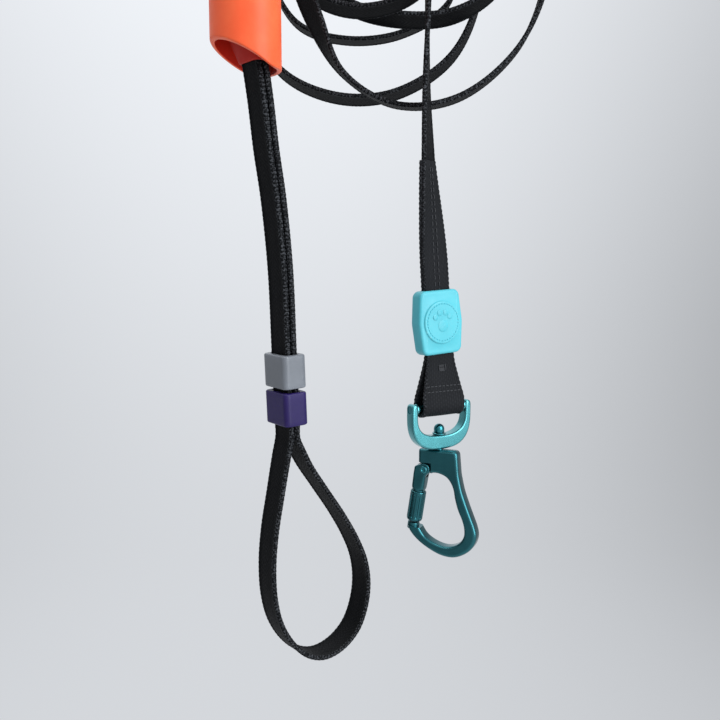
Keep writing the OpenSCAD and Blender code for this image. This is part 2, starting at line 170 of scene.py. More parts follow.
def through(points, spacing):
    """A smooth curve through rows of numbers whose first three are a place, one row each spacing."""
    p = np.asarray(points, float)
    knots = np.concatenate([[0], np.cumsum(np.linalg.norm(np.diff(p[:, :3], axis=0), axis=1) ** 0.5)])
    slope = np.empty_like(p)
    gap = np.diff(knots)[:, None]
    rate = np.diff(p, axis=0) / gap
    slope[1:-1] = (rate[:-1] * gap[1:] + rate[1:] * gap[:-1]) / (gap[:-1] + gap[1:])
    slope[0], slope[-1] = rate[0], rate[-1]
    fine = []
    for i in range(len(p) - 1):
        t = np.linspace(0, 1, 40, endpoint=i == len(p) - 2)[:, None]
        a, b, g = p[i], p[i + 1], gap[i]
        fine.append((2 * t**3 - 3 * t**2 + 1) * a + (t**3 - 2 * t**2 + t) * g * slope[i]
                    + (3 * t**2 - 2 * t**3) * b + (t**3 - t**2) * g * slope[i + 1])
    fine = np.concatenate(fine)
    along = np.concatenate([[0], np.cumsum(np.linalg.norm(np.diff(fine[:, :3], axis=0), axis=1))])
    stops = np.linspace(0, along[-1], max(2, round(along[-1] / spacing)) + 1)
    return np.stack([np.interp(stops, along, fine[:, k]) for k in range(fine.shape[1])], 1), stops


def headings(path):
    return unit(np.gradient(path, axis=0))


# The webbing's edge-to-edge shape: a flat face between two thicker woven edges, as (across, lift)
# shares of half the width and half the thickness.
FACE = [(-0.985, 0.45), (-0.945, 0.86), (-0.885, 1.0), (-0.82, 0.9), (-0.77, 0.74), (-0.5, 0.8),
        (-0.25, 0.84)]
FACE = FACE + [(0, 0.85)] + [(-x, y) for x, y in FACE[::-1]]
SECTION = [(-1.0, 0.0)] + FACE + [(1.0, 0.0)] + [(x, -y) for x, y in FACE[::-1]]
BRAID = 2.4


def strap(path, side, width, thick, spacing, groove=None, knobbly=0.05):
    """Webbing swept along path, with its width along side. groove gives, at each ring, how deep
    the front face folds in along its middle."""
    n = len(path)
    width = np.broadcast_to(np.asarray(width, float), (n,))
    forward = headings(path)
    side = unit(side - np.sum(side * forward, 1)[:, None] * forward)
    normal = np.cross(forward, side)
    along = np.arange(n) * spacing
    rings = np.empty((n, len(SECTION), 3))
    vs = []
    for k, (x, y) in enumerate(SECTION):
        out = np.zeros(n)
        lift = np.full(n, y * thick / 2)
        if abs(x) > 0.8:
            phase = 2 * math.pi * along / BRAID + (0 if y >= 0 else math.pi) + (0 if x > 0 else 1.3)
            out = knobbly * np.sin(phase) * np.sign(x)
            lift = lift + knobbly * np.sin(phase + 0.9) * np.sign(y)
        if groove is not None and y > 0 and abs(x) < 0.3:
            lift = lift - groove * (1.0 if x == 0 else 0.12)
        rings[:, k] = path + side * (x * width / 2 + out)[:, None] + normal * lift[:, None]
        vs.append(x)
    points, faces, uv = lofted(rings, us=along, vs=vs)
    uv = np.array(uv)
    uv[:, 1] *= float(np.mean(width)) / 2
    return points, faces, uv


def superellipse(a, b, power, columns):
    t = np.linspace(0, 2 * math.pi, columns, endpoint=False)
    c, s = np.cos(t), np.sin(t)
    r = (np.abs(c / a) ** power + np.abs(s / b) ** power) ** (-1 / power)
    return np.stack([r * c, r * s], 1)


def evened(loop, spacing, soften=0, closed=True):
    """A flat outline with points an even spacing apart, its corners softened."""
    p = np.asarray(loop, float)
    q = np.concatenate([p, p[:1]]) if closed else p
    along = np.concatenate([[0], np.cumsum(np.linalg.norm(np.diff(q, axis=0), axis=1))])
    n = max(8, round(along[-1] / spacing))
    stops = np.linspace(0, along[-1], n, endpoint=not closed)
    out = np.stack([np.interp(stops, along, q[:, k]) for k in range(2)], 1)
    for _ in range(soften):
        if closed:
            out = (np.roll(out, 1, 0) + 2 * out + np.roll(out, -1, 0)) / 4
        else:
            out[1:-1] = (out[:-2] + 2 * out[1:-1] + out[2:]) / 4
    return out


def inset(loop, d):
    """An outline moved inwards by d, in steps that spread its points out so that it never crosses itself."""
    steps = math.ceil(d / 0.05)
    for _ in range(steps):
        before, after = np.roll(loop, 1, 0), np.roll(loop, -1, 0)
        along = unit(after - before)
        loop = loop + d / steps * np.stack([-along[:, 1], along[:, 0]], 1)
        loop = loop * 0.4 + (np.roll(loop, 1, 0) + np.roll(loop, -1, 0)) * 0.3
    return loop


def filled(loop):
    """Triangles that fill a flat outline."""
    n = len(loop)
    rim = [(i, (i + 1) % n) for i in range(n)]
    made = delaunay_2d_cdt([Vector(p) for p in loop], rim, [list(range(n))], 1, 1e-6)
    return [[made[3][i][0] for i in face] for face in made[2]]


def slab(loop, front, back, edge, steps=5):
    """An outline in local x and z, running anticlockwise, given a thickness along Y and rounded edges."""
    rows = [(edge + 0.2, front)] + [
        (edge * (1 - math.sin(t)), front + edge * (1 - math.cos(t)))
        for t in np.linspace(0, math.pi / 2, steps + 1)]
    rows += [(d, back - (y - front)) for d, y in rows[::-1]]
    rings = []
    for d, y in rows:
        p = inset(loop, d)
        rings.append(np.stack([p[:, 0], np.full(len(p), y), p[:, 1]], 1))
    points, faces, _ = lofted(rings, ends=False)
    last = (len(rings) - 1) * len(loop)
    caps = filled(rings[0][:, [0, 2]])
    return points, faces + caps + [[last + i for i in face[::-1]] for face in caps], None


def combined(obj, operation, tools):
    """Obj with closed tools, each (parts, place), added to it or cut out of it."""
    for parts, place in tools:
        tool = piece("tool", parts, None, None, place)
        modifier = obj.modifiers.new("tool", "BOOLEAN")
        modifier.operation, modifier.solver, modifier.object = operation, "MANIFOLD", tool
        graph = bpy.context.evaluated_depsgraph_get()
        made = bpy.data.meshes.new_from_object(obj.evaluated_get(graph), depsgraph=graph)
        obj.modifiers.clear()
        obj.data = made
        bpy.data.objects.remove(tool)
    obj.data.shade_smooth()
    obj.data.set_sharp_from_angle(angle=math.radians(38))
    return obj


def carve(obj, *tools):
    return combined(obj, "DIFFERENCE", tools)


def join(obj, *tools):
    return combined(obj, "UNION", tools)


def box_part(low, high):
    (x0, y0, z0), (x1, y1, z1) = low, high
    ring = [(x0, y0), (x1, y0), (x1, y1), (x0, y1)]
    return [lofted([[(x, y, z) for x, y in ring] for z in (z1, z0)])]


def rod_part(radius, low, high, axis="Z"):
    return [turned([(radius, low), (radius, high)], 48, axis)]


# ---- materials ----

class Value:
    """A number or vector in a material's nodes."""

    def __init__(self, tree, socket):
        self.tree, self.socket = tree, socket

    def math(self, operation, *others, clamp=False):
        node = self.tree.nodes.new("ShaderNodeMath")
        node.operation, node.use_clamp = operation, clamp
        for i, value in enumerate((self, *others)):
            if isinstance(value, Value):
                self.tree.links.new(value.socket, node.inputs[i])
            else:
                node.inputs[i].default_value = value
        return Value(self.tree, node.outputs[0])

    def __add__(self, other):
        return self.math("ADD", other)

    def __sub__(self, other):
        return self.math("SUBTRACT", other)

    def __mul__(self, other):
        return self.math("MULTIPLY", other)

    def whole(self):
        return self.math("FLOOR")

    def part(self):
        return self.math("FRACT")

    def size(self):
        return self.math("ABSOLUTE")

    def wave(self):
        return self.math("SINE")

    def clamped(self):
        return self.math("ADD", 0.0, clamp=True)

    def ramp(self, low, high):
        node = self.tree.nodes.new("ShaderNodeMapRange")
        node.interpolation_type = "SMOOTHSTEP"
        self.tree.links.new(self.socket, node.inputs["Value"])
        node.inputs["From Min"].default_value, node.inputs["From Max"].default_value = low, high
        return Value(self.tree, node.outputs["Result"])


class Finish:
    """A Principled material that is built up from named patterns."""

    def __init__(self, name, **plain):
        self.material = bpy.data.materials.new(name)
        self.material.use_nodes = True
        self.tree = self.material.node_tree
        self.shader = self.tree.nodes["Principled BSDF"]
        self.last_bump = None
        for key, value in plain.items():
            self.shader.inputs[key.replace("_", " ")].default_value = value
        coordinates = self.tree.nodes.new("ShaderNodeTexCoord")
        scale = self.tree.nodes.new("ShaderNodeVectorMath")
        scale.operation = "SCALE"
        scale.inputs["Scale"].default_value = 1 / MM
        self.tree.links.new(coordinates.outputs["Object"], scale.inputs[0])
        self.place = scale.outputs[0]
        self.coordinates = coordinates

    def split(self, socket):
        node = self.tree.nodes.new("ShaderNodeSeparateXYZ")
        self.tree.links.new(socket, node.inputs[0])
        return [Value(self.tree, out) for out in node.outputs]

    def uv(self):
        return self.split(self.coordinates.outputs["UV"])[:2]

    def noise(self, per_mm, detail=2.0, stretch=None):
        """Noise from 0 to 1, with that many lumps to a millimetre."""
        node = self.tree.nodes.new("ShaderNodeTexNoise")
        node.inputs["Scale"].default_value = per_mm
        node.inputs["Detail"].default_value = detail
        source = self.place
        if stretch is not None:
            mapping = self.tree.nodes.new("ShaderNodeMapping")
            mapping.inputs["Scale"].default_value = stretch
            self.tree.links.new(source, mapping.inputs["Vector"])
            source = mapping.outputs[0]
        self.tree.links.new(source, node.inputs["Vector"])
        return Value(self.tree, node.outputs["Fac"])

    def edges(self):
        node = self.tree.nodes.new("ShaderNodeNewGeometry")
        return Value(self.tree, node.outputs["Pointiness"])

    def mix(self, share, low, high):
        node = self.tree.nodes.new("ShaderNodeMix")
        node.data_type = "RGBA"
        for index, value in ((0, share), (6, low), (7, high)):
            if isinstance(value, Value):
                self.tree.links.new(value.socket, node.inputs[index])
            elif index:
                node.inputs[index].default_value = (*value, 1)
            else:
                node.inputs[index].default_value = value
        return Value(self.tree, node.outputs[2])

    def drive(self, name, value):
        self.tree.links.new(value.socket, self.shader.inputs[name])

    def bump(self, height, depth_mm, strength=1.0):
        node = self.tree.nodes.new("ShaderNodeBump")
        node.inputs["Distance"].default_value = depth_mm * MM
        node.inputs["Strength"].default_value = strength
        self.tree.links.new(height.socket, node.inputs["Height"])
        if self.last_bump is not None:
            self.tree.links.new(self.last_bump, node.inputs["Normal"])
        self.last_bump = node.outputs[0]
        self.tree.links.new(self.last_bump, self.shader.inputs["Normal"])


def woven(name, dark, light, edge_light, half_width, shine):
    """Nylon webbing: a fine herringbone of yarns along its length, between braided edges."""
    f = Finish(name, Specular_IOR_Level=shine)
    along, across = f.uv()
    column = across.size() * (1 / 0.95)
    offset = (column.part() - 0.5).size() * 2
    yarn = (offset * offset) * -1 + 1
    step = (along * (1 / 2.2) + column.whole() * 0.5 + across.size() * 0.12).part()
    over = (step * (2 * math.pi)).wave().ramp(-0.6, 0.8)
    rib = (along * (2 * math.pi / 0.62)).wave() * 0.5 + 0.5
    height = yarn * (over * 0.6 + 0.4) + rib * 0.18
    edge = across.size().ramp(half_width - 1.5, half_width - 1.0)
    left = (along * (2 * math.pi / 1.9) + across * 4.4).wave().ramp(-0.3, 0.9)
    right = (along * (2 * math.pi / 1.9) - across * 4.4).wave().ramp(-0.3, 0.9)
    strand = left.math("MAXIMUM", right)
    height = height * (edge * -1 + 1) + strand * edge
    fuzz = f.noise(2.2, 3)
    patch = f.noise(0.05, 2)
    speck = f.noise(1.1, 2).ramp(0.44, 0.62)
    # Colour tone: random fuzz and patches, plus painted shade that darkens the hollows between yarns (from
    # height).
    tone_and_crevice_shade = (height * 0.35 + fuzz * 0.5 + patch * 0.4 - 0.25).clamped()
    body = f.mix(tone_and_crevice_shade, dark, light)
    f.drive("Base Color", f.mix((edge * strand * speck).clamped(), body, edge_light))
    f.drive("Roughness", (height * -0.14 + fuzz * 0.15 + 0.60).clamped())
    f.bump(height, 0.16, 0.9)
    f.bump(fuzz, 0.05, 0.7)
    return f.material


def sewing_thread(name, dark, light):
    f = Finish(name, Specular_IOR_Level=0.45, Sheen_Weight=0.1)
    fibre = f.noise(3.0, 2)
    f.drive("Base Color", f.mix(fibre, dark, light))
    f.drive("Roughness", fibre * 0.2 + 0.42)
    f.bump(fibre, 0.04, 0.8)
    return f.material


def rubber(name, deep, base, worn, roughness, glow, radius, grain=0.03, **plain):
    """Moulded rubber or silicone with a fine matt grain and slightly paler, worn edges."""
    f = Finish(name, Subsurface_Weight=glow, Subsurface_Radius=radius, Subsurface_Scale=MM, **plain)
    cloud, fine, scuff = f.noise(0.06, 3), f.noise(5.0, 2), f.noise(0.5, 6)
    colour = f.mix(cloud.ramp(0.3, 0.75), deep, base)
    wear = f.edges().ramp(0.51, 0.58) * scuff.ramp(0.35, 0.65)
    f.drive("Base Color", f.mix(wear * 0.5, colour, worn))
    f.drive("Roughness", (scuff * 0.16 + roughness - 0.08).clamped())
    f.bump(fine, grain, 0.5)
    f.bump(f.noise(0.25, 2), 0.05, 0.5)
    return f.material


def anodised(name, deep, base, worn, roughness):
    """Anodised die-cast alloy: fine-grained, with the colour rubbed paler along the edges."""
    f = Finish(name, Metallic=1.0, Coat_Weight=0.45, Coat_Roughness=0.14)
    cloud, fine, rub = f.noise(0.12, 3), f.noise(2.5, 2), f.noise(0.8, 5)
    colour = f.mix(cloud.ramp(0.3, 0.7), deep, base)
    wear = f.edges().ramp(0.53, 0.62) * rub.ramp(0.4, 0.7)
    f.drive("Base Color", f.mix(wear * 0.6, colour, worn))
    f.drive("Roughness", (rub * 0.10 + fine * 0.06 + roughness - 0.08).clamped())
    f.bump(fine, 0.0008, 0.4)
    f.bump(f.noise(0.3, 2), 0.01, 0.4)
    return f.material


NYLON = woven("black_nylon_webbing", (0.0012, 0.0014, 0.0018), (0.0070, 0.0076, 0.0092),
              (0.055, 0.058, 0.064), 7.5, 0.08)
# The same black webbing at the hook end, given a lighter colour that paints in its sheen under the
# front-right light.
HOOK_END_NYLON_PAINTED_SHEEN = woven("black_nylon_hook_end_painted_sheen", (0.003, 0.0034, 0.0043), (0.0145, 0.0158, 0.019),
                   (0.045, 0.047, 0.053), 9.0, 0.14)
THREAD = sewing_thread("black_thread", (0.004, 0.004, 0.0055), (0.04, 0.042, 0.05))
ORANGE = rubber("orange_rubber", (0.93, 0.115, 0.035), (0.98, 0.15, 0.05), (0.98, 0.26, 0.12), 0.42, 0.1,
                (2.0, 0.4, 0.2), Specular_IOR_Level=0.3)
# The core's own red plastic, made darker and redder than that as painted shade and red bounce light inside
# the grip.
RED_CORE_PAINTED_SHADE = rubber("red_plastic_painted_shade", (0.40, 0.016, 0.010), (0.47, 0.024, 0.016), (0.6, 0.08, 0.05), 0.5, 0.0,
                  (1.5, 0.3, 0.2), Specular_IOR_Level=0.1)
# A darker, redder copy of the orange rubber: painted shade and red bounce light for the inside of the grip.
ORANGE_PAINTED_SHADE = rubber("orange_rubber_painted_shade", (0.72, 0.030, 0.014), (0.80, 0.042, 0.02), (0.9, 0.1, 0.05),
                       0.5, 0.0, (2.0, 0.4, 0.2), Specular_IOR_Level=0.2)
GREY = rubber("grey_silicone", (0.150, 0.162, 0.182), (0.178, 0.192, 0.216), (0.33, 0.35, 0.38), 0.34, 0.2,
              (2.0, 2.0, 2.2))
PURPLE = rubber("purple_silicone", (0.014, 0.007, 0.070), (0.020, 0.010, 0.090), (0.07, 0.05, 0.19), 0.38,
                0.1, (0.6, 0.4, 1.6), Specular_IOR_Level=0.3)
CYAN = rubber("cyan_silicone", (0.065, 0.44, 0.52), (0.09, 0.50, 0.58), (0.3, 0.74, 0.80), 0.42, 0.1,
              (0.5, 1.6, 1.8))
TEAL = anodised("teal_anodised_alloy", (0.013, 0.110, 0.130), (0.019, 0.140, 0.163), (0.26, 0.56, 0.58), 0.24)
PALE_TEAL = anodised("teal_anodised_bow", (0.08, 0.34, 0.37), (0.10, 0.40, 0.43), (0.45, 0.74, 0.75), 0.26)
PIN_METAL = anodised("teal_pin_metal", (0.02, 0.20, 0.23), (0.03, 0.24, 0.28), (0.4, 0.7, 0.7), 0.22)
STEEL = anodised("spring_steel", (0.45, 0.45, 0.46), (0.55, 0.55, 0.56), (0.7, 0.7, 0.7), 0.28)


# ---- studio: a pale room whose floor rises smoothly into its walls and which glows all over as a graded light, brighter upward and to the right in front and, on the back wall, brightest a little left of the middle; and soft lamps ----

def studio():
    radius, floor, top, bend = 2.6, -1.05, 1.6, 0.9
    arc = np.linspace(0, math.pi / 2, 9)
    low = [(radius - bend + bend * math.sin(a), floor + bend * (1 - math.cos(a))) for a in arc]
    high = [(radius - bend + bend * math.cos(a), top - bend + bend * math.sin(a)) for a in arc]
    profile = low + high
    room = piece("studio", [turned([(r / MM, z / MM) for r, z in profile], 72)], None, None)
    material = bpy.data.materials.new("studio_graded_glow")
    material.use_nodes = True
    tree = material.node_tree
    tree.nodes.clear()
    place = tree.nodes.new("ShaderNodeTexCoord")
    parts = tree.nodes.new("ShaderNodeSeparateXYZ")
    tree.links.new(place.outputs["Object"], parts.inputs[0])
    x, y, z = [Value(tree, out) for out in parts.outputs]
    # The glow's strength: the front half brighter to the right and upward, the back wall brightest a little
    # left of the middle and upward.
    behind = y.ramp(-0.6, 0.9)
    wall = (x * x * -0.14 + x * -0.085 + z * 0.148 + 0.857).clamped().math("MAXIMUM", 0.42)
    front = x.ramp(-1.7, 0.8) * 0.52 + 0.38 + z.ramp(0.2, 1.5) * 0.3
    glow = front * (behind * -1 + 1) + wall * behind
    light = tree.nodes.new("ShaderNodeEmission")
    light.inputs["Color"].default_value = (0.925, 0.955, 1.0, 1)
    tree.links.new(glow.socket, light.inputs["Strength"])
    out = tree.nodes.new("ShaderNodeOutputMaterial")
    tree.links.new(light.outputs[0], out.inputs["Surface"])
    material.cycles.emission_sampling = "NONE"
    room.data.materials.append(material)


def area_light(name, place, aim, size, power, colour):
    lamp = bpy.data.objects.new(name, bpy.data.lights.new(name, "AREA"))
    bpy.context.scene.collection.objects.link(lamp)
    lamp.data.shape, lamp.data.size, lamp.data.size_y = "RECTANGLE", size[0], size[1]
    lamp.data.energy, lamp.data.color = power, colour
    lamp.location = place
    lamp.rotation_euler = (Vector(aim) - Vector(place)).to_track_quat("-Z", "Y").to_euler()


studio()
area_light("window", (1.05, -1.05, 0.10), (0.03, -0.03, -0.30), (1.0, 1.5), 20, (0.93, 0.97, 1.0))
area_light("ceiling", (-0.3, 0.1, 1.3), (0.0, 0.0, -0.3), (1.4, 1.4), 12, (1.0, 0.99, 0.97))
bpy.context.scene.view_settings.view_transform = "Standard"
world = bpy.data.worlds.new("world")
bpy.context.scene.world = world
world.use_nodes = True
world.node_tree.nodes["Background"].inputs["Strength"].default_value = 0.3


# ---- the free length of webbing ----

# The route, in millimetres, with the roll of the webbing's width in degrees: out of the grip, over
# the support and down in five loops, each pass going over from -X to +X, then down to the hook.
LEASH = [
    (-38.5, -51.4, -57, 36), (-46, -50, -34, 24),
    (-55.5, -46, 0, 6), (-39.6, -33, 39.6, 0), (0, -8, 56, 0), (39.6, 18, 39.6, 0), (53.5, 31, 0, 0),
    (67, 33, -38, 0), (79, 32.5, -82, 4), (78, 32, -118, 8), (63, 32, -150, 11), (32, 32, -169.5, 11),
    (0, 32, -171.5, 11), (-30, 32, -158.5, 8), (-48, 32, -130, 4), (-53, 32, -90, 0), (-52, 32, -42, 0),
    (-49, 32, 0, 0), (-34.7, 32, 34.7, 0), (0, 32, 49, 0), (34.7, 32, 34.7, 0), (49, 32, 0, 0),
    (58, 32, -42, 0), (68, 32, -86, 0), (61, 32, -121, 0), (36, 32, -137, 0), (4, 32, -140.5, 0),
    (-22, 32, -132, 0), (-38, 32, -103, 0), (-45, 32, -52, 0),
    (-45.5, 32, 0, 0), (-32.2, 28, 32.2, 0), (0, 24, 45.5, 0), (32.2, 20, 32.2, 0), (45.5, 17, 4, 0),
    (58, 16, -22, 0), (80, 16, -50, 2), (94, 16, -82, 6), (88, 16, -114, 12), (64, 16, -131, 17),
    (34, 16, -133.5, 17), (6, 16, -126.5, 14), (-20, 16, -105, 8), (-38, 16, -62, 2),
    (-45.5, 16, 0, 0), (-35.4, 9, 35.4, 0), (0, 1, 52.5, 0), (37.2, -8, 37.2, 0), (52.3, -15, 5, 0),
    (64, -16, -20, 0), (88, -16, -51, 0), (104, -16, -88, 0), (104.5, -16, -124, 2), (91, -16, -156, 3),
    (62, -16, -179.5, 2), (30, -16, -182.8, -2), (4, -16, -167.5, 0), (-10, -16, -142, 30),
    (-22, -16, -108, 38), (-37, -16, -60, 16),
    (-49, -16, 0, 0), (-34.7, -14, 34.7, 0), (0, -9, 49, 0), (34.7, -4, 34.7, 0), (49, 0, 0, 0),
    (58, 0, -46, 0), (59.5, 0, -90, 4), (44, 0, -122.5, 10), (14, 0, -133.4, 11), (-14, 0, -124.5, 9),
    (-34, 0, -90, 3), (-44, 0, -42, 0),
    (-45.5, 0, 0, 0), (-32.2, -8, 32.2, 0), (0, -16, 45.5, 0), (32.2, -24, 32.2, 0), (45.5, -32, 0, 0),
    (46.5, -32, -45, 0), (45.8, -32, -92, 0), (45.2, -32, -137, 1), (44.8, -32, -176, 11),
    (46, -32, -212, 24)]


def rolled(table, spacing):
    """The path through a table of places and rolls, and the webbing's width direction along it."""
    rows, _ = through(table, spacing)
    path = rows[:, :3]
    forward = headings(path)
    level = unit(np.array([0, 1.0, 0]) - forward[:, 1:2] * forward)
    roll = np.radians(rows[:, 3:4])
    return path, level * np.cos(roll) + np.cross(forward, level) * np.sin(roll)


def free_webbing():
    spacing = 1.05
    path, side = rolled(LEASH, spacing)
    leash = piece("leash_strap", [strap(path, side, 15, 2.4, spacing)], NYLON, "webbing",
                  stands_for=("leash_webbing",))
    (path[::3] * MM).tolist()


free_webbing()


# ---- the hand loop: doubled webbing from inside the grip down through the stoppers ----

DOUBLED = [(-18, -70), (-18, -138), (-15.8, -158), (-13, -171), (-10.6, -186), (-7.9, -208),
           (-4.3, -231), (-0.9, -265), (0.75, -307), (2.08, -341), (2.35, -348)]
LOOP = [(-1.6, -358), (-5.2, -376), (-8.8, -395), (-10.4, -412), (-9.6, -429), (-6, -443), (1, -455),
        (10, -463.5), (20, -467), (31, -464.8), (40.5, -457.5), (46, -446), (47.8, -433),
        (45.8, -420), (40.5, -407.5), (32, -393), (21, -377), (11.8, -363.5), (7.3, -355)]
LAYER = 1.75
STOPPER_LEAN = 2.24


def hand_loop():
    spacing = 0.6
    flat = [(x - LAYER, z) for x, z in DOUBLED] + LOOP + [(x + LAYER, z) for x, z in DOUBLED[::-1]]
    rows, _ = through([(x, 0, z) for x, z in flat + [(-18 + LAYER, -57)]], spacing)
    side = np.tile([0, 1.0, 0], (len(rows), 1))
    thick = np.interp(rows[:, 2], (-375, -350), (2.5, 2.95))
    piece("hand_loop_strap", [strap(rows, side, 15, thick, spacing)], NYLON, "webbing", HANDLE,
          stands_for=("hand_loop_webbing",))


hand_loop()


# ---- the hook end: doubled webbing that turns, is sewn flat and opens out round the bar ----

TURNING = [(46, -32, -212, 24), (46.7, -32, -224, 32), (47.6, -32, -237, 42), (48.5, -32, -250, 53),
           (49.3, -32, -261.7, 60), (49.7, -32, -268, 60)]
BAR_Z = 21.8
SEWN = 2.1


def hook_end_rows(front):
    """Places, width directions and widths down one layer, from its top to the bottom of the fold."""
    way = 1 if front else -1
    path, side = rolled(TURNING, 7)
    normal = np.cross(headings(path), side)
    lift = np.linspace(0.35 if front else 1.2, 1.1, len(path))[:, None] * way
    rows = [(*p, *s, 15) for p, s in zip(path + normal * lift, side)]
    axis = np.array(STRAP)[:3, 0]
    rows += [(*p, *axis, 15) for p in placed([(0, -1.1 * way, z) for z in (32, 24, 16, 8)], STRAP)]
    axis = np.array(BOW)[:3, 0]
    sides = [(-0.5, 1.1, 48.4, 16.2), (-0.45, 1.5, 44, 17.4), (-0.3, 2.25, 38, 20), (-0.15, 3.0, 32, 22.8),
             (0, 3.75, 27, 25)]
    rows += [(*p, *axis, w) for (x, y, z, w) in sides for p in placed([(x, -y * way, z)], BOW)]
    for a in (8, -18, -44, -68) + ((-90,) if front else ()):
        p = (0, -4.4 * way * math.cos(math.radians(a)), 22.8 + 4.4 * math.sin(math.radians(a)))
        rows.append((*placed([p], BOW)[0], *axis, 25))
    return rows


def stitch_mesh(places, reach=0.30, columns=8, steps=8):
    """Short twisted stitches, each (middle, direction, outward, length), in millimetres."""
    parts = []
    for middle, along, out, length in places:
        middle, along, out = np.array(middle), unit(along), unit(out)
        across = np.cross(along, out)
        rings = []
        for s in np.linspace(-1, 1, steps + 1):
            swell = math.sqrt(max(1 - s**6, 0.02))
            centre = middle + along * (s * length / 2) + out * (0.22 * (1 - s * s) - 0.12)
            ring = []
            for k in range(columns):
                t = 2 * math.pi * k / columns
                r = reach * swell * (1 + 0.13 * math.cos(2 * t + 5 * s))
                ring.append(centre + out * (r * math.cos(t)) + across * (r * math.sin(t)))
            rings.append(ring)
        parts.append(lofted(rings))
    return parts


def hook_end():
    spacing = 0.55
    table = hook_end_rows(True) + hook_end_rows(False)[::-1]
    rows, _ = through(table, spacing)
    path, side, width = rows[:, :3], unit(rows[:, 3:6]), rows[:, 6]
    height = path[:, 2]
    bottom = int(np.argmin(height))
    near = (np.arange(len(path)) < bottom)
    fold_in = 0.42 * np.clip((height + 322) / 12, 0, 1) * near
    # The hook end uses the lighter webbing copy, whose extra lightness is painted sheen.
    piece("hook_end_strap", [strap(path, side, width, SEWN, spacing, fold_in, 0.1)], HOOK_END_NYLON_PAINTED_SHEEN, "webbing",
          stands_for=("hook_end_webbing",))

    normal = np.cross(headings(path), side)

    def sewn(i, across, lift, length, crosswise=False):
        middle = path[i] + side[i] * across + normal[i] * lift
        return middle, side[i] if crosswise else headings(path)[i], normal[i], length

    step = round(3.1 / spacing)
    top = int(np.argmax(height[:bottom] < -216))
    end = int(np.argmax(height[:bottom] < -304))
    far = len(path) - 1
    seam = [sewn(i, x, SEWN * 0.40, 2.5) for i in range(top, end, step) for x in (-1.25, 1.25)]
    seam += [sewn(far - i, x, SEWN * 0.46, 2.5) for i in range(top, end, step) for x in (-1.25, 1.25)]
    piece("centre_seam_stitches", stitch_mesh(seam, 0.22), THREAD, "webbing",
          stands_for=("centre_seam_thread",))

    def row_at(z):
        return int(np.argmax(height[:bottom] < z))

    tack = [sewn(row_at(-314 + k * 0.42), 0.0, SEWN * 0.44, 3.4, True) for k in range(-3, 4)]
    tack += [sewn(row_at(-314), x, SEWN * 0.5, 3.6) for x in (-1.9, 1.9)]
    piece("bartack_stitches", stitch_mesh(tack, 0.24), THREAD, "webbing",
          stands_for=("bartack_thread",))
    fold = [sewn(row_at(z), x * 2.3, SEWN * 0.44, 1.8, True) for z in (-322.8, -325.6) for x in range(-4, 5)]
    piece("fold_seam_stitches", stitch_mesh(fold, 0.26), THREAD, "webbing",
          stands_for=("fold_seam_thread",))


hook_end()


# ---- the hand grip ----

GRIP_X = DOUBLED[0][0]
GRIP_TOP = -57
GRIP_BOTTOM = -174.3
MOUTH_Z = -169.3
MOUTH_FALL = math.tan(math.radians(31))
MOUTH_WAY = math.radians(-16)


